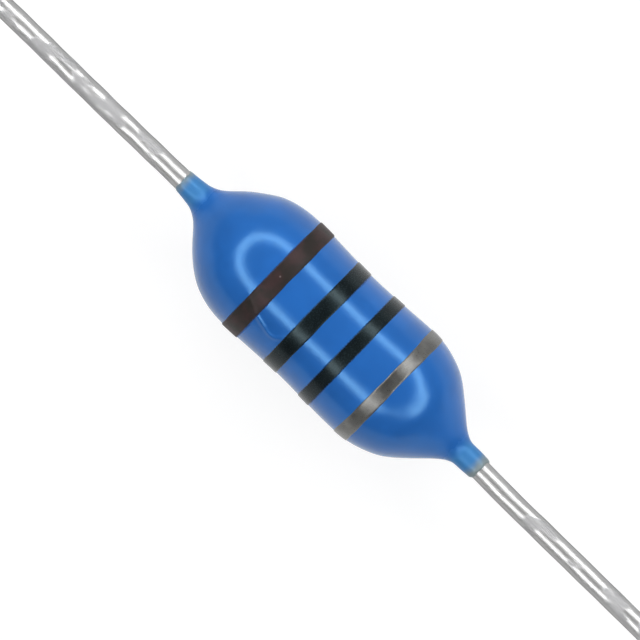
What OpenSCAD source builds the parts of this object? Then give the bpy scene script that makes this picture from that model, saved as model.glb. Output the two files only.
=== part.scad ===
// Small axial inductor with coloured bands. A ferrite drum core carries one layer of
// enamelled copper wire, two straight tinned leads are cemented into its ends, the wire's
// tails are wound on the leads and soldered, and a blue lacquer coat covers it all.
// The leads run along X and the brown band is on the -X side. Lengths are in millimetres.

/* [Drum core] */
// Length of the core
core_len = 6; // [4.8:0.1:7.2]
// Diameter of its end flanges
flange_dia = 3.2; // [2.8:0.05:3.8]
// Thickness of each flange
flange_t = 1; // [0.8:0.05:1.2]
// Depth of the groove between the flanges, which holds the wire
groove_depth = 0.4; // [0.3:0.01:0.5]
// Bevel on the outer edges of the flanges
flange_bevel = 0.12; // [0.08:0.01:0.2]
// Depth of the socket for each lead
socket_depth = 1.1; // [0.9:0.05:1.4]
// Draft of the socket's wall, in degrees
socket_draft = 1.5; // [1:0.1:2]
// Room left beside the wire in the notch that lets it out through each flange
notch_side = 0.155; // [0.14:0.005:0.2]

/* [Lacquer coat] */
// Thickness of the lacquer over the flanges, where the body bulges
coat_t = 0.29; // [0.22:0.01:0.36]
// How much the lacquer sinks at the middle of the body
waist_drop = 0.062; // [0.02:0.002:0.1]
// Distance back from the core's end face to each bulge
bulge_inset = 0.9; // [0.7:0.05:1.1]
// Distance out from the core's end face to the round of the shoulder
shoulder_reach = 0.2; // [0.16:0.01:0.3]
// How much the radius has dropped there
shoulder_drop = 0.225; // [0.18:0.005:0.27]
// How fast the radius falls there
shoulder_slope = 0.44; // [0.36:0.01:0.52]
// Distance out from the core's end face to the steepest part of the taper
taper_reach = 1.3; // [1.1:0.05:1.5]
// Diameter at the steepest part of the taper
taper_dia = 1.68; // [1.4:0.02:1.9]
// How fast the radius falls there
taper_slope = 0.9; // [0.8:0.01:1]
// Distance out from the core's end face to where the lacquer meets the lead
neck_reach = 2; // [1.9:0.05:2.2]
// Thickness of the lacquer there
neck_t = 0.085; // [0.07:0.005:0.12]
// How fast the radius falls there
neck_slope = 0.17; // [0.1:0.01:0.2]
// Distance out from the core's end face to the end of the thin film on the lead
film_reach = 2.55; // [2.45:0.05:2.9]
// Thickness of the film at its end
film_t = 0.025; // [0.02:0.001:0.04]

/* [Colour bands] */
// Middle of the brown band
brown_x = -1.86; // [-2:0.01:-1.5]
// Width of the brown band
brown_w = 0.52; // [0.3:0.01:0.6]
// Middle of the first black band
black_1_x = -0.35; // [-0.6:0.01:-0.1]
// Width of the first black band
black_1_w = 0.48; // [0.3:0.01:0.6]
// Middle of the second black band
black_2_x = 0.91; // [0.6:0.01:1.2]
// Width of the second black band
black_2_w = 0.42; // [0.3:0.01:0.6]
// Middle of the silver band
silver_x = 2.3; // [1.9:0.01:2.5]
// Width of the silver band
silver_w = 0.47; // [0.3:0.01:0.6]
// Thickness of the ink
ink_t = 0.025; // [0.01:0.005:0.04]

/* [Leads] */
// Diameter of the tinned wire
lead_dia = 0.6; // [0.5:0.02:0.7]
// Length over both leads, tip to tip
lead_span = 65.2; // [40:0.2:75]
// Bevel left at the cut tips
tip_bevel = 0.05; // [0.02:0.01:0.1]
// Distance out from the core's end face to where the squared inner end turns round
shank_reach = 1.55; // [1.4:0.05:1.7]
// Corner bevel of the squared inner end
shank_bevel = 0.06; // [0.05:0.01:0.08]
// Cement round the squared end, at the bottom of the socket
cement_t = 0.085; // [0.07:0.005:0.12]
// Cement under the squared end
cement_floor = 0.1; // [0.06:0.01:0.2]

/* [Winding] */
// Diameter of the enamelled wire
wire_dia = 0.15; // [0.12:0.01:0.18]
// Space from turn to turn
turn_gap = 0.008; // [0.006:0.001:0.03]
// Turns of each tail round its lead
wraps = 2; // [1:1:2]
// Space from wrap to wrap
wrap_gap = 0.02; // [0.015:0.005:0.04]
// Radius of the bends in the tails
bend_r = 0.12; // [0.1:0.01:0.14]

/* [Solder] */
// Thickness of the solder outside the wraps
solder_t = 0.105; // [0.08:0.005:0.13]
// Length of the solder beyond the last wrap
solder_cap = 0.37; // [0.3:0.01:0.44]
// Thickness of the solder at its thin outer end
solder_edge = 0.035; // [0.025:0.005:0.05]

/* [Hidden] */
$fn = 72;

// Clearances between a seated pair, under the ink and round the wire, and what a cut
// runs past the surface that it opens
seat_gap = 0.005;
ink_gap = 0.003;
wire_gap = 0.02;
cut_over = 0.5;

half_core = core_len / 2;
flange_r = flange_dia / 2;
groove_x = half_core - flange_t;
drum_r = flange_r - groove_depth;
body_r = flange_r + coat_t;
bulge_x = half_core - bulge_inset;
shoulder_x = half_core + shoulder_reach;
taper_x = half_core + taper_reach;
neck_x = half_core + neck_reach;
film_x = half_core + film_reach;

lead_r = lead_dia / 2;
lead_end_x = lead_span / 2;
shank_x = half_core + shank_reach;
// The squared end keeps the round wire's cross-section
shank_side = lead_dia * sqrt(PI) / 2;
shank_corner_r = norm([shank_side / 2, shank_side / 2 - shank_bevel]);
socket_x = half_core - socket_depth;
shank_start_x = socket_x + cement_floor;
socket_floor_r = shank_corner_r + cement_t;
socket_mouth_r = socket_floor_r + socket_depth * tan(socket_draft);

wire_r = wire_dia / 2;
turn_pitch = wire_dia + turn_gap;
// As many whole turns as the groove holds
turns = floor((2 * groove_x - wire_dia - 2 * wire_gap) / turn_pitch);
coil_r = drum_r + wire_r + wire_gap;
coil_top_r = coil_r + wire_r + wire_gap;
coil_half = turns * turn_pitch / 2;
coil_end_angle = 180 * turns;
notch_w = wire_dia + 2 * notch_side;
notch_floor_r = drum_r - 0.03;

wrap_pitch = wire_dia + wrap_gap;
wrap_r = shank_corner_r + wire_r + wire_gap;
wrap_top_r = wrap_r + wire_r + wire_gap;
tail_x = half_core + wire_r + wire_gap;
wrap_end_x = tail_x + wraps * wrap_pitch + wire_r + wire_gap;
solder_r = wrap_top_r + solder_t;
solder_edge_r = shank_corner_r + solder_edge;
solder_end_x = wrap_end_x + solder_cap;

// Angle from the end of the winding to the middle of the notch, and from there to where
// the tail first touches its wrap circle
notch_lead = 17;
notch_angle = coil_end_angle + notch_lead;
tangent_angle = acos(wrap_r / coil_r);

helix_steps = 20;
wrap_steps = 10;
wire_sides = 6;

// Points on the coat's outline: distance from the middle, radius, slope
outline_knots = [
    [0, body_r - waist_drop, 0],
    [bulge_x, body_r, 0],
    [shoulder_x, body_r - shoulder_drop, -shoulder_slope],
    [taper_x, taper_dia / 2, -taper_slope],
    [neck_x, lead_r + neck_t, -neck_slope],
    [film_x, lead_r + film_t, -neck_slope / 3]
];

// A smooth step from knot a to knot b, at distance x
function between(a, b, x) =
    let (
        h = b[0] - a[0],
        t = (x - a[0]) / h
    )
    a[1] * (2 * pow(t, 3) - 3 * pow(t, 2) + 1)
    + a[2] * h * (pow(t, 3) - 2 * pow(t, 2) + t)
    + b[1] * (3 * pow(t, 2) - 2 * pow(t, 3))
    + b[2] * h * (pow(t, 3) - pow(t, 2));

// Radius of the coat at distance d from the middle
function coat_r(d, i = 0) =
    d <= outline_knots[i + 1][0] || i == len(outline_knots) - 2
        ? between(outline_knots[i], outline_knots[i + 1], d)
        : coat_r(d, i + 1);

function reversed(list) = [for (i = [len(list) - 1 : -1 : 0]) list[i]];

function unit(v) = v / norm(v);

// A point at distance x along the axis, radius r and angle a round it
function round_x(x, r, a) = [x, r * cos(a), r * sin(a)];

// Turns a solid of revolution about Z so that it lies along X
module along_x() {
    rotate([0, 90, 0]) children();
}

// The squared inner end of a lead, larger all round by the clearance grow
module shank(from_x, to_x, grow = 0) {
    s = shank_side / 2 + grow;
    b = shank_bevel;
    translate([from_x, 0, 0])
        along_x()
            linear_extrude(to_x - from_x)
                polygon([
                    [s, s - b], [s - b, s], [b - s, s], [-s, s - b],
                    [-s, b - s], [b - s, -s], [s - b, -s], [s, b - s]
                ]);
}

// The room that a tail needs across the core's end face
module tail_channel() {
    start = [0, coil_r * cos(notch_angle), coil_r * sin(notch_angle)];
    finish = round_x(0, wrap_r, notch_angle + tangent_angle);
    run = finish - start;
    half_w = wire_r + wire_gap;
    translate([half_core - seat_gap, start[1], start[2]])
        rotate([atan2(run[2], run[1]), 0, 0])
            translate([0, -half_w - bend_r, -half_w])
                cube([seat_gap + 2 * half_w, norm(run) + bend_r + half_w, 2 * half_w]);
}

// Places a silver-end piece at the brown end: half a turn about Y
module at_brown_end() {
    rotate([0, 180, 0]) children();
}

module coat_outline() {
    film_end = film_x - film_t / 2;
    half = concat(
        [for (i = [0 : 11]) [bulge_x * i / 12, 0]],
        [for (i = [0 : 10]) [bulge_x + (shoulder_x - bulge_x) * i / 11, 0]],
        [for (i = [0 : 11]) [shoulder_x + (taper_x - shoulder_x) * i / 12, 0]],
        [for (i = [0 : 9]) [taper_x + (neck_x - taper_x) * i / 10, 0]],
        [for (i = [0 : 5]) [neck_x + (film_end - neck_x) * i / 5, 0]]
    );
    right = [for (p = half) [coat_r(p[0]), p[0]]];
    left = [for (i = [len(half) - 1 : -1 : 1]) [coat_r(half[i][0]), -half[i][0]]];
    tip_r = lead_r + film_t / 2;
    polygon(concat(
        [[0, -film_x], [tip_r, -film_x]],
        left,
        right,
        [[tip_r, film_x], [0, film_x]]
    ));
}

// Half outline of the solder joint, larger all round by the clearance grow
function solder_points(grow) = concat(
    [
        [solder_r - solder_t / 4 + grow, half_core + seat_gap - grow],
        [solder_r + grow, tail_x]
    ],
    [for (i = [0 : 6]) let (t = i / 6)
        [
            solder_r + (solder_edge_r - solder_r) * t * t * (3 - 2 * t) + grow,
            wrap_end_x - wire_r + (solder_cap + wire_r) * t + (i == 6 ? grow : 0)
        ]]
);

// The hollow in the coat that the wound core and the solder joints fill
module coat_hollow() {
    rim_r = flange_r + seat_gap;
    face_x = half_core + seat_gap;
    inner_x = groove_x - seat_gap;
    right = concat(
        [
            [coil_top_r, 0],
            [coil_top_r, inner_x],
            [rim_r, inner_x],
            [rim_r, face_x - flange_bevel],
            [rim_r - flange_bevel, face_x]
        ],
        [for (p = solder_points(seat_gap)) [p[0], max(p[1], face_x)]],
        [[0, solder_end_x + seat_gap]]
    );
    left = [for (p = reversed(right)) [p[0], -p[1]]];
    polygon(concat(left, [for (i = [1 : len(right) - 1]) right[i]]));
}

module coating() {
    color("royalblue")
        difference() {
            along_x() rotate_extrude() coat_outline();
            along_x() rotate_extrude() coat_hollow();
            coat_end_holes();
            at_brown_end() coat_end_holes();
        }
}

module coat_end_holes() {
    shank(solder_end_x, shank_x + seat_gap, seat_gap);
    translate([shank_x, 0, 0])
        along_x() cylinder(r = lead_r + seat_gap, h = film_x - shank_x + cut_over);
    tail_channel();
}

// A ring of ink that follows the coat, with soft edges
module band(middle, width) {
    edge = min(0.04, width / 8);
    steps = 8;
    from = middle - width / 2;
    inside = [for (i = [0 : steps]) let (x = from + width * i / steps)
        [coat_r(abs(x)) + ink_gap, x]];
    outside = [for (i = [0 : steps]) let (x = from + edge + (width - 2 * edge) * i / steps)
        [coat_r(abs(x)) + ink_gap + ink_t, x]];
    along_x() rotate_extrude() polygon(concat(inside, reversed(outside)));
}

module brown_band() {
    color("saddlebrown") band(brown_x, brown_w);
}

module first_black_band() {
    color("black") band(black_1_x, black_1_w);
}

module second_black_band() {
    color("black") band(black_2_x, black_2_w);
}

module silver_band() {
    color("silver") band(silver_x, silver_w);
}

// One end of the core: its lead socket and the notch for the tail
module core_end_cuts() {
    translate([socket_x, 0, 0])
        along_x() cylinder(r1 = socket_floor_r, r2 = socket_mouth_r, h = socket_depth);
    rotate([notch_angle, 0, 0])
        translate([groove_x - seat_gap, notch_floor_r, -notch_w / 2])
            cube([flange_t + cut_over, flange_r, notch_w]);
}

module ferrite_core() {
    r = flange_r;
    b = flange_bevel;
    color("dimgray")
        difference() {
            along_x()
                rotate_extrude()
                    polygon([
                        [0, -half_core], [r - b, -half_core], [r, b - half_core], [r, -groove_x],
                        [drum_r, -groove_x], [drum_r, groove_x],
                        [r, groove_x], [r, half_core - b], [r - b, half_core], [0, half_core]
                    ]);
            core_end_cuts();
            at_brown_end() core_end_cuts();
        }
}

// Centre line of the tail at the silver end: off the drum, through the notch,
// down the end face and round the lead
tail_start = round_x(0, coil_r, notch_angle);
tail_finish = round_x(0, wrap_r, notch_angle + tangent_angle);
tail_run = unit(tail_finish - tail_start);
tail_path = concat(
    [
        round_x(coil_half + 0.01, coil_r, coil_end_angle + 6),
        round_x(coil_half + 0.07, coil_r, coil_end_angle + 11),
        round_x(coil_half + 0.2, coil_r, coil_end_angle + 15),
        round_x(coil_half + 0.35, coil_r, notch_angle)
    ],
    [for (i = [0 : 4]) let (a = 90 * i / 4)
        tail_start + tail_run * bend_r * (1 - cos(a)) + [tail_x - bend_r + bend_r * sin(a), 0, 0]],
    [for (i = [0 : wraps * wrap_steps])
        round_x(tail_x + wrap_pitch * i / wrap_steps, wrap_r,
                notch_angle + tangent_angle + 360 * i / wrap_steps)]
);

coil_path = [for (i = [0 : turns * helix_steps])
    round_x(turn_pitch * (i / helix_steps - turns / 2), coil_r,
            360 * (i / helix_steps - turns / 2))];

// The other tail is the same one after half a turn about Y
wire_path = concat(
    [for (p = reversed(tail_path)) [-p[0], p[1], -p[2]]],
    coil_path,
    tail_path
);

function heading(path, i) =
    unit(path[min(i + 1, len(path) - 1)] - path[max(i - 1, 0)]);

function square_to(v, t) = unit(v - t * (v * t));

// A round wire along a path: one closed skin whose rings turn no more than they must
module wire_along(path, r, sides) {
    last = len(path) - 1;
    sideways = [for (
        i = 0, v = square_to([1, 0.3, 0.2], heading(path, 0));
        i <= last;
        i = i + 1, v = i <= last ? square_to(v, heading(path, i)) : v
    ) v];
    points = [for (i = [0 : last]) let (t = heading(path, i), v = sideways[i], w = cross(t, v))
        for (j = [0 : sides - 1]) let (a = 360 * j / sides)
            path[i] + r * (cos(a) * v + sin(a) * w)];
    walls = [for (i = [0 : last - 1], j = [0 : sides - 1]) let (
            a = i * sides + j,
            b = i * sides + (j + 1) % sides
        )
        each [[a, a + sides, b + sides], [a, b + sides, b]]];
    caps = [
        [for (j = [0 : sides - 1]) j],
        [for (j = [sides - 1 : -1 : 0]) last * sides + j]
    ];
    polyhedron(points = points, faces = concat(walls, caps));
}

module winding() {
    color("peru") wire_along(wire_path, wire_r, wire_sides);
}

module lead() {
    shank(shank_start_x, shank_x);
    translate([shank_x, 0, 0])
        along_x() cylinder(r = lead_r, h = lead_end_x - tip_bevel - shank_x);
    translate([lead_end_x - tip_bevel, 0, 0])
        along_x() cylinder(r1 = lead_r, r2 = lead_r - tip_bevel, h = tip_bevel);
}

module silver_end_lead() {
    color("lightgray") lead();
}

module brown_end_lead() {
    color("lightgray") at_brown_end() lead();
}

module solder() {
    difference() {
        along_x() rotate_extrude()
            polygon(concat(
                [[0, half_core + seat_gap]],
                solder_points(0),
                [[0, solder_end_x]]
            ));
        along_x() cylinder(r = wrap_top_r, h = wrap_end_x);
        shank(half_core, solder_end_x + cut_over, seat_gap);
        tail_channel();
    }
}

module silver_end_solder() {
    color("gainsboro") solder();
}

module brown_end_solder() {
    color("gainsboro") at_brown_end() solder();
}

module cement() {
    slope = tan(socket_draft);
    depth = socket_depth - seat_gap;
    difference() {
        translate([socket_x + seat_gap, 0, 0])
            along_x()
                cylinder(
                    r1 = socket_floor_r - seat_gap,
                    r2 = socket_floor_r - seat_gap + depth * slope,
                    h = depth
                );
        shank(shank_start_x - seat_gap, half_core + cut_over, seat_gap);
    }
}

module silver_end_cement() {
    color("tan") cement();
}

module brown_end_cement() {
    color("tan") at_brown_end() cement();
}

coating();
brown_band();
first_black_band();
second_black_band();
silver_band();
ferrite_core();
winding();
brown_end_lead();
silver_end_lead();
brown_end_solder();
silver_end_solder();
brown_end_cement();
silver_end_cement();
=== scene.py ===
"""Dresses the axial inductor: lacquered body, ink bands and tinned leads under a ring light."""

import math

import bpy
import numpy as np
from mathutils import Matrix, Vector


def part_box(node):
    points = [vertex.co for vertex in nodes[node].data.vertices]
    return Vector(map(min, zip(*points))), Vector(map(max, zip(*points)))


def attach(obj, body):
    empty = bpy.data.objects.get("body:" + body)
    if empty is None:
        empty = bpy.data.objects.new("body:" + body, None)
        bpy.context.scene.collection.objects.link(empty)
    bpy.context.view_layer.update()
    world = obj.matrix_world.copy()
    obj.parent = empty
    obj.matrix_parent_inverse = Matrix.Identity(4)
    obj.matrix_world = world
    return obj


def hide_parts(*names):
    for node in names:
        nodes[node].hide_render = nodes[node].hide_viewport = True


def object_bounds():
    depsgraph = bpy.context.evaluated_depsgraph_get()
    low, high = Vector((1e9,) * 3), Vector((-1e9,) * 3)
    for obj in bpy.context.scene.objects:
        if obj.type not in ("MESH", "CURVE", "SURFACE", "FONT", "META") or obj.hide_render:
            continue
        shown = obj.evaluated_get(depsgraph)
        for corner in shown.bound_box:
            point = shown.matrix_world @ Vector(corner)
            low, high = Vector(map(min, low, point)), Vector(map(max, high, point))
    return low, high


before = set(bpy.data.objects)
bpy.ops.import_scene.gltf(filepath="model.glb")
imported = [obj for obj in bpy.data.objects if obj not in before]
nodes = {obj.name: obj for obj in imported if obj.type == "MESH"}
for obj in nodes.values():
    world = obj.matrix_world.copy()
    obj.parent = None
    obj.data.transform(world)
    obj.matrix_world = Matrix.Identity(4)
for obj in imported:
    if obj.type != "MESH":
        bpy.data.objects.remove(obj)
cad_low, cad_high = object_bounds()
MM = 0.001


# The camera looks straight down, turned so that the leads run as in the photograph

PICTURE = 640
PIXELS_PER_MM = 37.2
ORIGIN_PIXEL = (330.0, 324.2)
CAMERA_HEIGHT = 250 * MM
CAMERA_TURN = math.radians(44.28)
SENSOR = 36


def make_camera():
    """A long lens far enough away to show the part nearly without perspective."""
    across = Vector((math.cos(CAMERA_TURN), math.sin(CAMERA_TURN), 0))
    upward = Vector((-math.sin(CAMERA_TURN), math.cos(CAMERA_TURN), 0))
    right, down = ((pixel - PICTURE / 2) / PIXELS_PER_MM * MM for pixel in ORIGIN_PIXEL)
    data = bpy.data.cameras.new("camera")
    data.type = "PERSP"
    data.sensor_width = SENSOR
    data.lens = SENSOR * CAMERA_HEIGHT / (PICTURE / PIXELS_PER_MM * MM)
    data.clip_start = 20 * MM
    data.clip_end = 5
    camera = bpy.data.objects.new("camera", data)
    camera.location = upward * down - across * right + Vector((0, 0, CAMERA_HEIGHT))
    camera.rotation_euler = (0, 0, CAMERA_TURN)
    bpy.context.scene.collection.objects.link(camera)
    bpy.context.scene.camera = camera
    bpy.context.scene.view_settings.view_transform = "Standard"


# Sizes in millimetres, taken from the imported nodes


def span(node, axis):
    """The middle and the half width of a node along an axis, in millimetres."""
    low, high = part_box(node)
    return (low[axis] + high[axis]) / 2 / MM, (high[axis] - low[axis]) / 2 / MM


FILM_END = span("coating", 0)[1]
BULGE_R = span("coating", 1)[1]
LEAD_R = span("silver_end_lead", 1)[1]
LEAD_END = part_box("silver_end_lead")[1][0] / MM
LEAD_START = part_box("silver_end_lead")[0][0] / MM

# How far each painted band strays from its node: along X, and in half width
BAND_STRAY = {
    "brown_band": (0.036, 0.022),
    "first_black_band": (-0.024, 0.020),
    "second_black_band": (-0.015, 0.002),
    "silver_band": (-0.024, -0.016),
}

# The lacquer's outline as in the part's source: distance from the middle, radius, slope
KNOTS = (
    (0.0, BULGE_R - 0.062, 0.0),
    (2.1, BULGE_R, 0.0),
    (3.2, BULGE_R - 0.225, -0.44),
    (4.3, 0.84, -0.9),
    (5.0, 0.385, -0.17),
    (FILM_END, LEAD_R + 0.025, -0.057),
)

# Inside the body each lead is squared, up to this x, with the same section area as the wire
SHANK_END = 4.55
SHANK_HALF = LEAD_R * math.sqrt(math.pi) / 2


def step(value, low, high):
    """0 up to low, 1 from high on, and a smooth rise between."""
    t = np.clip((value - low) / (high - low), 0, 1)
    return t * t * (3 - 2 * t)


def hump(value, middle, width):
    """1 at the middle, falling off smoothly to both sides."""
    return np.exp(-(((value - middle) / width) ** 2))


def outline(x):
    """Radius of the lacquer at x before its unevenness."""
    d = np.abs(x)
    r = np.full(d.shape, KNOTS[-1][1])
    for (x0, r0, s0), (x1, r1, s1) in zip(KNOTS, KNOTS[1:]):
        h = x1 - x0
        t = (d - x0) / h
        curve = (
            r0 * (2 * t**3 - 3 * t**2 + 1)
            + s0 * h * (t**3 - 2 * t**2 + t)
            + r1 * (3 * t**2 - 2 * t**3)
            + s1 * h * (t**3 - t**2)
        )
        r = np.where((t >= 0) & (t <= 1), curve, r)
    return r


# Each lead's stray to +Y at the body, how much less it is further out, and between which
# distances from the middle it changes
BROWN_END_STRAY = (0.011, 0.019, 5.0, 8.5)
SILVER_END_STRAY = (0.020, 0.029, 5.3, 7.0)


def stray(distance, at_body, less, start, end):
    return at_body - less * step(distance, start, end)


def lead_offset(x):
    """How far a lead strays to +Y of the part's axis: it was never quite straight."""
    return np.where(x > 0, stray(x, *SILVER_END_STRAY), stray(-x, *BROWN_END_STRAY))


# The body lies this far to -Y of the leads. The shift comes in at the brown end and goes
# out at the silver end in two parts each: a share of it, and the x between which it changes
BODY_OFFSET = 0.11
SHIFT_IN = ((0.8, -5.05, -3.55), (0.2, -4.2, -2.2))
SHIFT_OUT = ((0.5, 0.7, 3.7), (0.5, 3.1, 5.5))


def shares(x, parts):
    return sum(share * step(x, start, end) for share, start, end in parts)


def body_offset(x):
    """How far the lacquer's own centre line lies to +Y of the part's axis."""
    shift = np.where(x < 0, shares(x, SHIFT_IN), 1 - shares(x, SHIFT_OUT))
    return -BODY_OFFSET * shift + lead_offset(x) * (1 - shift)


def ripple(x, angle, seed, waves):
    """A smooth seeded unevenness, closed round the axis, of about 1 in size."""
    rng = np.random.default_rng(seed)
    total = 0
    for _ in range(waves):
        turns = rng.integers(0, 5)
        along = rng.uniform(-2.2, 2.2)
        total = total + np.cos(turns * angle + along * x + rng.uniform(0, 2 * math.pi))
    return total / math.sqrt(waves)


# Where the lacquer ran and left a fine ridge: x, and degrees from the top towards -Y
RUN = (
    (-2.38, 22.7),
    (-2.03, 27.5),
    (-1.52, 36.0),
    (-1.23, 38.8),
    (-1.08, 40.6),
    (-0.93, 41.2),
    (-0.80, 39.8),
    (-0.68, 36.0),
    (-0.50, 29.3),
)

# The degrees round the body between which it needs fine points, its height and half width,
# and the x between which it fades in and out
RUN_ARC = (106, 134)
RUN_HEIGHT = 0.024
RUN_WIDTH = 0.052
RUN_START = (-2.3, -1.7)
RUN_FINISH = (-0.75, -0.5)
TOP = math.pi / 2
FAR_AWAY = 9.0


def run_ridge(x, angle):
    """Height of the run above the lacquer round it."""
    y = BULGE_R * (angle - TOP)
    path = [(px, BULGE_R * math.radians(degrees)) for px, degrees in RUN]
    nearest = np.full(np.broadcast(x, angle).shape, FAR_AWAY)
    for (ax, ay), (bx, by) in zip(path, path[1:]):
        length = math.hypot(bx - ax, by - ay)
        ux, uy = (bx - ax) / length, (by - ay) / length
        along = np.clip((x - ax) * ux + (y - ay) * uy, 0, length)
        nearest = np.minimum(nearest, np.hypot(x - ax - along * ux, y - ay - along * uy))
    strength = step(x, *RUN_START) * (1 - step(x, *RUN_FINISH))
    return RUN_HEIGHT * strength * np.exp(-((nearest / RUN_WIDTH) ** 2) / 2)


# Where the lacquer is thicker or thinner than its outline: how much, x, and reach along X
SWELLINGS = (
    (0.020, -3.15, 0.5),
    (0.008, -3.4, 0.3),
    (0.040, -3.98, 0.43),
    (-0.035, -4.55, 0.3),
    (-0.012, 3.2, 0.5),
    (0.014, 3.5, 0.3),
    (-0.019, 4.85, 0.4),
)

# The neck at the silver end is thicker by this much, from the second of these x on
THICKER_NECK = 0.024
THICKER_NECK_RISE = (4.9, 5.3)

# A faint ripple all over the body, which fades out between these distances from the middle
RIPPLE = 0.004
RIPPLE_SEED = 11
RIPPLE_WAVES = 14
RIPPLE_FADE = (3.9, 4.6)


def lacquer_radius(x, angle):
    """Radius of the lacquer about its own centre line."""
    uneven = sum(size * hump(x, middle, reach) for size, middle, reach in SWELLINGS)
    uneven = uneven + THICKER_NECK * step(x, *THICKER_NECK_RISE)
    body = 1 - step(np.abs(x), *RIPPLE_FADE)
    rippled = RIPPLE * body * ripple(x, angle, RIPPLE_SEED, RIPPLE_WAVES)
    return outline(x) + uneven + rippled + run_ridge(x, angle)


def body_points(x, angle, r):
    """Points on the body in metres, from x, angle and radius in millimetres."""
    y = body_offset(x) + r * np.cos(angle)
    return np.stack(np.broadcast_arrays(x, y, r * np.sin(angle)), -1) * MM


# Meshes


def make_object(name, points, faces):
    mesh = bpy.data.meshes.new(name)
    mesh.from_pydata(points.reshape(-1, 3).tolist(), [], faces)
    mesh.shade_smooth()
    thing = bpy.data.objects.new(name, mesh)
    bpy.context.scene.collection.objects.link(thing)
    return thing


def ring_faces(rings, sides, closed):
    """Quads between each ring of points and the next, and back to the first if closed."""
    faces = []
    for i in range(rings if closed else rings - 1):
        n = (i + 1) % rings
        for j in range(sides):
            k = (j + 1) % sides
            faces.append((i * sides + j, i * sides + k, n * sides + k, n * sides + j))
    return faces


def capped_tube(name, grid):
    """A closed solid through rings of points that follow each other along X."""
    rings, sides = grid.shape[:2]
    first = tuple(range(sides))[::-1]
    last = tuple((rings - 1) * sides + j for j in range(sides))
    return make_object(name, grid, ring_faces(rings, sides, False) + [first, last])


def body_angles():
    """Directions round the body, closest together where the run lies."""
    start, end = RUN_ARC
    fine = np.radians(np.linspace(start, end, 50, endpoint=False))
    rest = np.radians(np.linspace(end, start + 360, 190, endpoint=False))
    return np.concatenate([fine, rest]) % (2 * math.pi)


# Rows of points on the body between the necks and on each neck, and how those at the film's
# edge are spaced, as shares of its rounding
NECK_START = 4.2
BODY_ROWS = 298
NECK_ROWS = 42
RIM_ROWS = (1, 0.7, 0.45, 0.25, 0.1, 0.02, 0)

# The film's edge on the leads: its rounding, how far it sinks into the wire, how far it
# creeps at the silver end, and its waves as turns round the lead, size and phase
FILM_START = 5
FILM_RIM = 0.09
FILM_SINK = 0.004
FILM_CREEP = 0.09
FILM_WAVES = ((1, 0.035, 0.7), (2, 0.02, 2), (5, 0.012, 0))


def make_coat():
    """The blue lacquer, thinned to a rounded and ragged edge on each lead."""
    neck = np.linspace(NECK_START, FILM_END - FILM_RIM, NECK_ROWS, endpoint=False)
    edge = FILM_END - FILM_RIM * np.array(RIM_ROWS)
    half = np.concatenate([neck, edge])
    middle = np.linspace(-NECK_START, NECK_START, BODY_ROWS)[1:-1]
    x = np.concatenate([-half[::-1], middle, half])
    x, angle = np.meshgrid(x, body_angles(), indexing="ij")
    r = lacquer_radius(x, angle)
    inward = 1 - np.clip((FILM_END - np.abs(x)) / FILM_RIM, 0, 1)
    r = r - (r - LEAD_R + FILM_SINK) * (1 - np.sqrt(1 - inward**2))
    ragged = sum(size * np.cos(turns * angle + phase) for turns, size, phase in FILM_WAVES)
    outward = np.sign(x) * step(np.abs(x), FILM_START, FILM_END)
    moved = x + outward * ragged + FILM_CREEP * step(x, FILM_START, FILM_END)
    return capped_tube("lacquer_body", body_points(moved, angle, r))


def band_span(node):
    """The middle and the half width of a painted band along X."""
    middle, half = span(node, 0)
    shift, wider = BAND_STRAY[node]
    return middle + shift, half + wider


# Waves of a band's edges, as turns round the body and size
BAND_WAVES = ((1, 0.010), (2, 0.009), (3, 0.006), (5, 0.006), (9, 0.004), (17, 0.003))

# Rows of points across a band, the share of its width in which each edge rises, how much its
# thickness varies, how deep it goes and how far its outer edge lies below the lacquer
BAND_ROWS = 22
BAND_SLOPE = 0.1
BAND_UNEVEN = 0.15
BAND_DEPTH = 0.02
BAND_TUCK = 0.006


def make_band(name, node, seed, lift):
    """A painted ring that stands a little proud, with uneven edges that meet the lacquer."""
    middle, half = band_span(node)
    angle = body_angles()
    rng = np.random.default_rng(seed)

    def wavy_edge():
        return sum(
            size * np.cos(turns * angle + rng.uniform(0, 2 * math.pi))
            for turns, size in BAND_WAVES
        )

    low = middle - half + wavy_edge()
    high = middle + half + wavy_edge()
    u = np.linspace(0, 1, BAND_ROWS)[:, None]
    x = low + (high - low) * u
    rise = np.clip(np.minimum(u, 1 - u) / BAND_SLOPE, 0, 1)
    thickness = np.clip(1 + BAND_UNEVEN * ripple(x, angle, seed + 5, 8), 0.5, 1.5)
    height = lift * np.sin(rise * math.pi / 2) * thickness - BAND_TUCK * (rise == 0)
    r = lacquer_radius(x, angle)
    outer = body_points(x, angle, r + height)
    inner = body_points(x[::-1], angle, r[::-1] - BAND_DEPTH)
    grid = np.concatenate([outer, inner])
    return make_object(name, grid, ring_faces(*grid.shape[:2], True))


# Points round a lead, and the x from which its rows lie further apart
LEAD_SIDES = 48
LEAD_COARSE = 14

# Half the length of the change from square to round, and how the shank is eased in its socket
SHANK_STEP = 0.02
SHANK_FIT = 0.99

# The tin's skin: how many waves it has, their size, and how far it lies inside the wire's size
SKIN_WAVES = 26
SKIN_SWELL = 0.0006
SKIN_INSET = 0.003

# The last rows before the tip as distances from it, and how the last two are rounded off,
# then how far the sheared tip slants and over what length
TIP_START = 0.06
TIP_ROWS = (0.03, 0.008, 0)
TIP_ROUNDING = (0.014, 0.05)
TIP_SLANT = 0.04
TIP_LENGTH = 0.4

# The leads bow with the square of the distance from this x
BOW = 0.00009
BOW_START = 9


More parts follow.
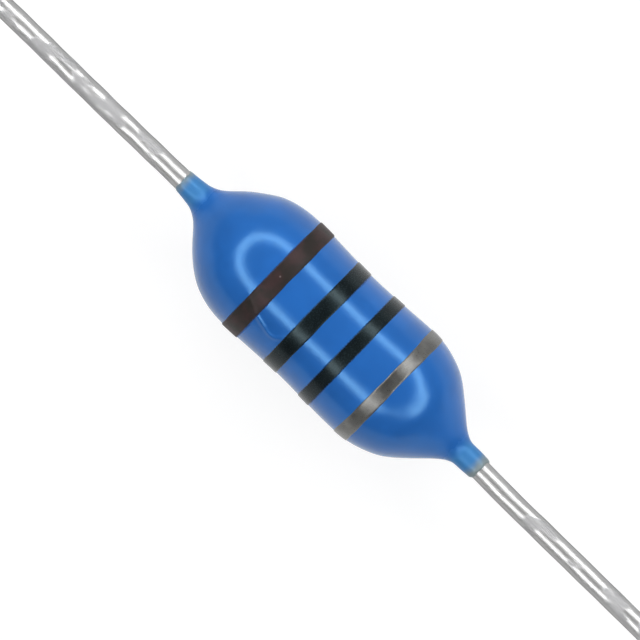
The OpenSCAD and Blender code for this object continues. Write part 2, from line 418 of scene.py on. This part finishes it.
def make_lead(name, sign, seed):
    """A tinned wire with a squared inner end, a slightly uneven skin and a sheared tip."""
    x = np.concatenate(
        [
            np.linspace(LEAD_START, SHANK_END - SHANK_STEP, 6),
            np.linspace(SHANK_END + SHANK_STEP, LEAD_COARSE, 260, endpoint=False),
            np.linspace(LEAD_COARSE, LEAD_END - TIP_START, 220),
            LEAD_END - np.array(TIP_ROWS),
        ]
    )
    around = np.linspace(0, 2 * math.pi, LEAD_SIDES, endpoint=False)
    x, angle = np.meshgrid(x, around, indexing="ij")
    square = SHANK_HALF / np.maximum(np.abs(np.cos(angle)), np.abs(np.sin(angle)))
    rng = np.random.default_rng(seed)
    swell = 0
    for _ in range(SKIN_WAVES):
        turns = rng.integers(0, 4)
        along = rng.uniform(0.8, 7.0)
        swell = swell + np.cos(turns * angle + x * along + rng.uniform(0, 2 * math.pi))
    r = np.where(x < SHANK_END, square * SHANK_FIT, LEAD_R - SKIN_INSET + SKIN_SWELL * swell)
    r[-2] -= TIP_ROUNDING[0]
    r[-1] -= TIP_ROUNDING[1]
    to_tip = np.clip((x - LEAD_END + TIP_LENGTH) / TIP_LENGTH, 0, 1)
    slant = TIP_SLANT * to_tip * (1 + np.cos(angle + rng.uniform(0, 6)))
    bow = BOW * np.clip(x - BOW_START, 0, None) ** 2
    y = lead_offset(sign * x) + r * np.cos(angle) + bow * rng.uniform(-0.5, 0.5)
    z = r * np.sin(angle) + bow * rng.uniform(-0.5, 0.5)
    points = np.stack([sign * (x - slant), y, z], -1) * MM
    return capped_tube(name, points[::sign])


# Materials


class Shader:
    """A material's nodes, with short calls for the kinds that are used here."""

    def __init__(self, name):
        self.material = bpy.data.materials.new(name)
        self.material.use_nodes = True
        self.tree = self.material.node_tree
        self.tree.nodes.clear()
        self.out = self.new("ShaderNodeOutputMaterial")

    def new(self, kind, **settings):
        node = self.tree.nodes.new(kind)
        for key, value in settings.items():
            setattr(node, key, value)
        return node

    def put(self, socket, value):
        if isinstance(value, bpy.types.NodeSocket):
            self.tree.links.new(value, socket)
        else:
            socket.default_value = value

    def place(self):
        """Object coordinates in millimetres."""
        node = self.new("ShaderNodeVectorMath", operation="SCALE")
        self.put(node.inputs[0], self.new("ShaderNodeTexCoord").outputs["Object"])
        node.inputs["Scale"].default_value = 1 / MM
        return node.outputs[0]

    def split(self, vector):
        node = self.new("ShaderNodeSeparateXYZ")
        self.put(node.inputs[0], vector)
        return node.outputs[0], node.outputs[1], node.outputs[2]

    def math(self, operation, *values):
        node = self.new("ShaderNodeMath", operation=operation)
        for socket, value in zip(node.inputs, values):
            self.put(socket, value)
        return node.outputs[0]

    def stretch(self, vector, scale):
        node = self.new("ShaderNodeVectorMath", operation="MULTIPLY")
        self.put(node.inputs[0], vector)
        node.inputs[1].default_value = scale
        return node.outputs[0]

    def distance(self, vector, point):
        node = self.new("ShaderNodeVectorMath", operation="DISTANCE")
        self.put(node.inputs[0], vector)
        node.inputs[1].default_value = point
        return node.outputs["Value"]

    def noise(self, vector, scale, detail=2.0, rough=0.5, distortion=0.0):
        node = self.new("ShaderNodeTexNoise")
        self.put(node.inputs["Vector"], vector)
        node.inputs["Scale"].default_value = scale
        node.inputs["Detail"].default_value = detail
        node.inputs["Roughness"].default_value = rough
        node.inputs["Distortion"].default_value = distortion
        return node.outputs["Fac"]

    def between(self, value, low, high, to_low=0.0, to_high=1.0):
        """A smooth step from to_low at low to to_high at high."""
        node = self.new("ShaderNodeMapRange", interpolation_type="SMOOTHSTEP")
        for socket, number in zip(node.inputs, (value, low, high, to_low, to_high)):
            self.put(socket, number)
        return node.outputs["Result"]

    def mix(self, factor, a, b):
        node = self.new("ShaderNodeMix", data_type="RGBA")
        self.put(node.inputs[0], factor)
        self.put(node.inputs[6], a)
        self.put(node.inputs[7], b)
        return node.outputs[2]

    def bump(self, height, strength, distance, below=None):
        node = self.new("ShaderNodeBump")
        self.put(node.inputs["Height"], height)
        node.inputs["Strength"].default_value = strength
        node.inputs["Distance"].default_value = distance
        if below is not None:
            self.put(node.inputs["Normal"], below)
        return node.outputs["Normal"]

    def principled(self, **inputs):
        node = self.new("ShaderNodeBsdfPrincipled")
        for key, value in inputs.items():
            self.put(node.inputs[key.replace("_", " ")], value)
        self.put(self.out.inputs[0], node.outputs[0])
        return self.material


def rgb(r, g, b):
    """A colour written as it shows on a screen, 0 to 255."""
    return tuple(((c / 255 + 0.055) / 1.055) ** 2.4 for c in (r, g, b)) + (1,)


BLUE = rgb(44, 116, 206)
DEEP_BLUE = rgb(41, 109, 195)
NECK_BLUE = rgb(70, 138, 204)
THIN_FILM = rgb(146, 158, 160)
BROWN = rgb(66, 49, 49)
DARK_BROWN = rgb(48, 43, 40)
SPECK = rgb(128, 112, 112)
BLACK = rgb(27, 36, 39)
DEEP_BLACK = rgb(18, 25, 28)
SILVER = rgb(112, 112, 109)
DARK_SILVER = rgb(93, 93, 91)
TIN = rgb(187, 187, 187)
DULL_TIN = rgb(190, 190, 191)
COPPER = rgb(196, 128, 96)


def lacquer_material():
    """Glossy blue lacquer with a fine peel, paler where it thins out on the leads."""
    s = Shader("blue_lacquer")
    place = s.place()
    along = s.math("ABSOLUTE", s.split(place)[0])
    cloud = s.noise(place, 0.8)
    colour = s.mix(s.between(cloud, 0.35, 0.65), DEEP_BLUE, BLUE)
    ragged = s.noise(place, 5.0, 3.0)
    edge = s.math("MULTIPLY_ADD", ragged, 0.16, along)
    colour = s.mix(s.between(edge, 4.72, 5.12), colour, NECK_BLUE)
    bare = s.between(edge, 5.34, 5.66)
    colour = s.mix(bare, colour, THIN_FILM)
    peel = s.noise(place, 1.6, 3.0, 0.55)
    grain = s.noise(place, 14.0)
    normal = s.bump(peel, 0.22, 0.03 * MM)
    normal = s.bump(grain, 0.08, 0.006 * MM, normal)
    return s.principled(
        Base_Color=colour,
        Roughness=s.between(edge, 4.6, 5.1, 0.22, 0.4),
        IOR=1.45,
        Specular_IOR_Level=0.7,
        Specular_Tint=(0.33, 0.7, 0.95, 1),
        Sheen_Weight=0.1,
        Sheen_Roughness=0.3,
        Sheen_Tint=(0.35, 1.0, 0.8, 1),
        Normal=normal,
    )


def ink_material(name, node, colour, dark, rough, level, tint, speck=None):
    """Screen ink that thins to the lacquer's blue at the edges of its band."""
    s = Shader(name)
    middle, half = band_span(node)
    place = s.place()
    cloud = s.noise(place, 2.2, 3.0)
    grain = s.noise(place, 26.0)
    base = s.mix(s.between(cloud, 0.35, 0.7), dark, colour)
    if speck:
        base = s.mix(s.between(s.distance(place, speck), 0.045, 0.02), base, SPECK)
    off = s.math("ABSOLUTE", s.math("SUBTRACT", s.split(place)[0], middle))
    thin = s.between(s.math("MULTIPLY_ADD", grain, 0.05, off), half - 0.01, half + 0.045)
    base = s.mix(thin, base, DEEP_BLUE)
    normal = s.bump(cloud, 0.25, 0.02 * MM)
    normal = s.bump(grain, 0.25, 0.004 * MM, normal)
    return s.principled(
        Base_Color=base,
        Roughness=s.between(grain, 0.3, 0.7, rough - 0.05, rough + 0.05),
        IOR=1.5,
        Specular_IOR_Level=level,
        Specular_Tint=tint,
        Normal=normal,
    )


def silver_material():
    """Silver ink: dull metal flake."""
    s = Shader("silver_ink")
    place = s.place()
    flake = s.noise(place, 42.0, 2.0, 0.6)
    cloud = s.noise(place, 3.0)
    base = s.mix(s.between(cloud, 0.3, 0.7), DARK_SILVER, SILVER)
    return s.principled(
        Base_Color=base,
        Metallic=0.7,
        Roughness=s.between(flake, 0.3, 0.7, 0.27, 0.36),
        Normal=s.bump(flake, 0.8, 0.006 * MM),
    )


def tin_material():
    """Tin-dipped wire, bright with dull patches, and copper at the sheared tips."""
    s = Shader("tinned_wire")
    place = s.place()
    along = s.math("ABSOLUTE", s.split(place)[0])
    patch = s.noise(s.stretch(place, (1.1, 2.3, 2.3)), 1.0, 1.5)
    dull = s.between(patch, 0.56, 0.62)
    streak = s.noise(s.stretch(place, (0.5, 3.0, 3.0)), 2.0, 3.0)
    grain = s.noise(place, 30.0)
    base = s.mix(dull, TIN, DULL_TIN)
    tip = s.between(along, LEAD_END - 0.035, LEAD_END - 0.02, 0.0, 0.75)
    base = s.mix(tip, base, COPPER)
    normal = s.bump(streak, 0.14, 0.02 * MM)
    normal = s.bump(grain, 0.3, 0.004 * MM, normal)
    return s.principled(
        Base_Color=base,
        Metallic=1.0,
        Roughness=s.between(patch, 0.54, 0.62, 0.44, 0.75),
        Specular_Tint=(0, 0, 0, 1),
        Normal=normal,
    )


def hidden_material(name, dark, colour, scale, metallic, rough, bump):
    """A plain finish with some variation, for what the lacquer hides."""
    s = Shader(name)
    cloud = s.noise(s.place(), scale, 4.0, 0.6)
    return s.principled(
        Base_Color=s.mix(s.between(cloud, 0.3, 0.7), dark, colour),
        Metallic=metallic,
        Roughness=s.between(cloud, 0.3, 0.7, rough, rough + 0.16),
        Normal=s.bump(cloud, 0.4, bump * MM),
    )


# Floor, light and room, in metres and radians

SEGMENTS = 96

FLOOR_RADIUS = 2.2
WALL_HEIGHT = 0.115
FLOOR_GREY = (0.25, 0.25, 0.25, 1)

# The floor's own glow near the part and further out, and the distances between which it rises
NEAR_GLOW = 0.84
FAR_GLOW = 1.0
GLOW_RISE = (0.05, 0.6)

# The ring reaches from one angle off the vertical to the other, as seen from the part
RING_DISTANCE = 0.4
RING_ANGLES = (math.radians(33), math.radians(55))
RING_LEAN = (math.radians(3.4), math.radians(4.8))
RING_STRENGTH = 4.0
RING_MIRRORED = 2.85

# Where the ring is dim: its bearing, how far to each side it starts and ends, and how dim
DIM_BEARING = math.radians(-42)
DIM_REACH = (math.radians(14), math.radians(34))
DIM_LEVEL = 0.3

# The room's level away from its bright side, and on that side as light and in reflections
BRIGHT_SIDE = (-0.44, 0.85, 0.28)
ROOM_DARK = 0.17
ROOM_BRIGHT = 0.85
ROOM_MIRRORED = 0.45


def stage_object(name, points, faces, material):
    mesh = bpy.data.meshes.new(name)
    mesh.from_pydata(points, [], faces)
    mesh.materials.append(material)
    thing = bpy.data.objects.new(name, mesh)
    bpy.context.scene.collection.objects.link(thing)
    return thing


def circle(radius, z):
    turn = 2 * math.pi / SEGMENTS
    return [(radius * math.cos(i * turn), radius * math.sin(i * turn), z) for i in range(SEGMENTS)]


def make_floor():
    """A pale floor with a low rim, white to the camera and in reflections."""
    s = Shader("floor")
    path = s.new("ShaderNodeLightPath")
    seen = s.math("MAXIMUM", path.outputs["Is Camera Ray"], path.outputs["Is Glossy Ray"])
    seen = s.math("MAXIMUM", seen, path.outputs["Is Transmission Ray"])
    far = s.distance(s.new("ShaderNodeTexCoord").outputs["Object"], (0, 0, 0))
    diffuse = s.new("ShaderNodeBsdfDiffuse")
    diffuse.inputs["Color"].default_value = FLOOR_GREY
    glow = s.new("ShaderNodeEmission")
    level = s.between(far, *GLOW_RISE, NEAR_GLOW, FAR_GLOW)
    s.put(glow.inputs["Strength"], s.math("MULTIPLY", seen, level))
    both = s.new("ShaderNodeAddShader")
    s.put(both.inputs[0], diffuse.outputs[0])
    s.put(both.inputs[1], glow.outputs[0])
    s.put(s.out.inputs[0], both.outputs[0])
    z = cad_low[2] - 0.001 * MM
    points = circle(FLOOR_RADIUS, z) + circle(FLOOR_RADIUS, z + WALL_HEIGHT)
    faces = [tuple(range(SEGMENTS))]
    for i in range(SEGMENTS):
        k = (i + 1) % SEGMENTS
        faces.append((i, k, SEGMENTS + k, SEGMENTS + i))
    stage_object("floor", points, faces, s.material)


def make_ring_light():
    """A ring light that leans to one side, dim over a short stretch and strong in reflections."""
    s = Shader("ring_light")
    place = s.new("ShaderNodeTexCoord").outputs["Object"]
    x, y, _ = s.split(place)
    bearing = s.math("ARCTAN2", y, x)
    off = s.math("ABSOLUTE", s.math("SUBTRACT", bearing, DIM_BEARING))
    dim = s.between(off, *DIM_REACH, DIM_LEVEL, 1.0)
    inner, outer = (RING_DISTANCE * math.tan(angle) for angle in RING_ANGLES)
    radius = s.distance(s.stretch(place, (1, 1, 0)), (0, 0, 0))
    away = s.math("ABSOLUTE", s.math("SUBTRACT", radius, (inner + outer) / 2))
    soft = s.between(away, 0, (outer - inner) / 2, 1.0, 0.0)
    mirrored = s.new("ShaderNodeLightPath").outputs["Is Glossy Ray"]
    share = s.math("MULTIPLY_ADD", mirrored, RING_MIRRORED - 1, 1.0)
    strength = s.math("MULTIPLY", s.math("MULTIPLY", dim, soft), RING_STRENGTH)
    strength = s.math("MULTIPLY", strength, share)
    glow = s.new("ShaderNodeEmission")
    s.put(glow.inputs["Strength"], strength)
    s.put(s.out.inputs[0], glow.outputs[0])
    points = circle(inner, RING_DISTANCE) + circle(outer, RING_DISTANCE)
    faces = []
    for i in range(SEGMENTS):
        k = (i + 1) % SEGMENTS
        faces.append((i, SEGMENTS + i, SEGMENTS + k, k))
    ring = stage_object("ring_light", points, faces, s.material)
    ring.rotation_euler = (-RING_LEAN[1], RING_LEAN[0], 0)
    ring.visible_camera = False


def make_room():
    """A dim room, brighter low down on one side, which reflections show less."""
    world = bpy.data.worlds.new("room")
    bpy.context.scene.world = world
    world.use_nodes = True
    tree = world.node_tree
    tree.nodes.clear()
    link = tree.links.new
    place = tree.nodes.new("ShaderNodeTexCoord")
    path = tree.nodes.new("ShaderNodeLightPath")
    towards = tree.nodes.new("ShaderNodeVectorMath")
    towards.operation = "DOT_PRODUCT"
    towards.inputs[1].default_value = BRIGHT_SIDE
    link(place.outputs["Generated"], towards.inputs[0])
    bright = tree.nodes.new("ShaderNodeMapRange")
    bright.inputs["To Min"].default_value = ROOM_BRIGHT
    bright.inputs["To Max"].default_value = ROOM_MIRRORED
    link(path.outputs["Is Glossy Ray"], bright.inputs["Value"])
    level = tree.nodes.new("ShaderNodeMapRange")
    level.inputs["To Min"].default_value = ROOM_DARK
    link(bright.outputs["Result"], level.inputs["To Max"])
    link(towards.outputs["Value"], level.inputs["Value"])
    background = tree.nodes.new("ShaderNodeBackground")
    link(level.outputs["Result"], background.inputs["Strength"])
    out = tree.nodes.new("ShaderNodeOutputWorld")
    link(background.outputs[0], out.inputs[0])


# The scene


def dress(piece, node, material):
    """Gives a piece its finish and puts it in a CAD node's place."""
    piece.data.materials.append(material)
    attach(piece, "root")
    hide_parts(node)


# A light speck on the brown band, and the tints of the inks' gloss
SPECK_PLACE = (-1.84, -0.02, BULGE_R)
BROWN_GLOSS = (0.9, 0.95, 1, 1)
BLACK_GLOSS = (0.66, 0.92, 1, 1)


def dress_body():
    dress(make_coat(), "coating", lacquer_material())
    brown = ink_material(
        "brown_ink",
        "brown_band",
        BROWN,
        DARK_BROWN,
        rough=0.48,
        level=0.16,
        tint=BROWN_GLOSS,
        speck=SPECK_PLACE,
    )
    ring = make_band("brown_ink_ring", "brown_band", seed=3, lift=0.03)
    dress(ring, "brown_band", brown)
    for piece, node, seed in (
        ("first_black_ink_ring", "first_black_band", 7),
        ("second_black_ink_ring", "second_black_band", 12),
    ):
        black = ink_material(
            node + "_ink",
            node,
            BLACK,
            DEEP_BLACK,
            rough=0.25,
            level=0.2,
            tint=BLACK_GLOSS,
        )
        dress(make_band(piece, node, seed, lift=0.02), node, black)
    ring = make_band("silver_ink_ring", "silver_band", seed=23, lift=0.016)
    dress(ring, "silver_band", silver_material())


def dress_leads():
    tin = tin_material()
    dress(make_lead("brown_end_tinned_wire", -1, 41), "brown_end_lead", tin)
    dress(make_lead("silver_end_tinned_wire", 1, 57), "silver_end_lead", tin)


def finish_inside():
    """Finishes for the nodes that stay as they are, inside the lacquer."""
    solder = hidden_material(
        "solder",
        rgb(170, 172, 175),
        rgb(205, 206, 208),
        scale=5,
        metallic=1,
        rough=0.24,
        bump=0.03,
    )
    ferrite = hidden_material(
        "ferrite",
        rgb(36, 36, 38),
        rgb(52, 52, 54),
        scale=18,
        metallic=0,
        rough=0.55,
        bump=0.01,
    )
    copper = hidden_material(
        "enamelled_copper",
        rgb(150, 66, 30),
        rgb(190, 96, 48),
        scale=6,
        metallic=0.85,
        rough=0.2,
        bump=0.01,
    )
    cement = hidden_material(
        "cement",
        rgb(168, 150, 116),
        rgb(196, 178, 140),
        scale=9,
        metallic=0,
        rough=0.6,
        bump=0.02,
    )
    for node, material in (
        ("ferrite_core", ferrite),
        ("winding", copper),
        ("brown_end_solder", solder),
        ("silver_end_solder", solder),
        ("brown_end_cement", cement),
        ("silver_end_cement", cement),
    ):
        nodes[node].data.materials.clear()
        nodes[node].data.materials.append(material)


make_camera()
dress_body()
dress_leads()
finish_inside()
make_floor()
make_ring_light()
make_room()
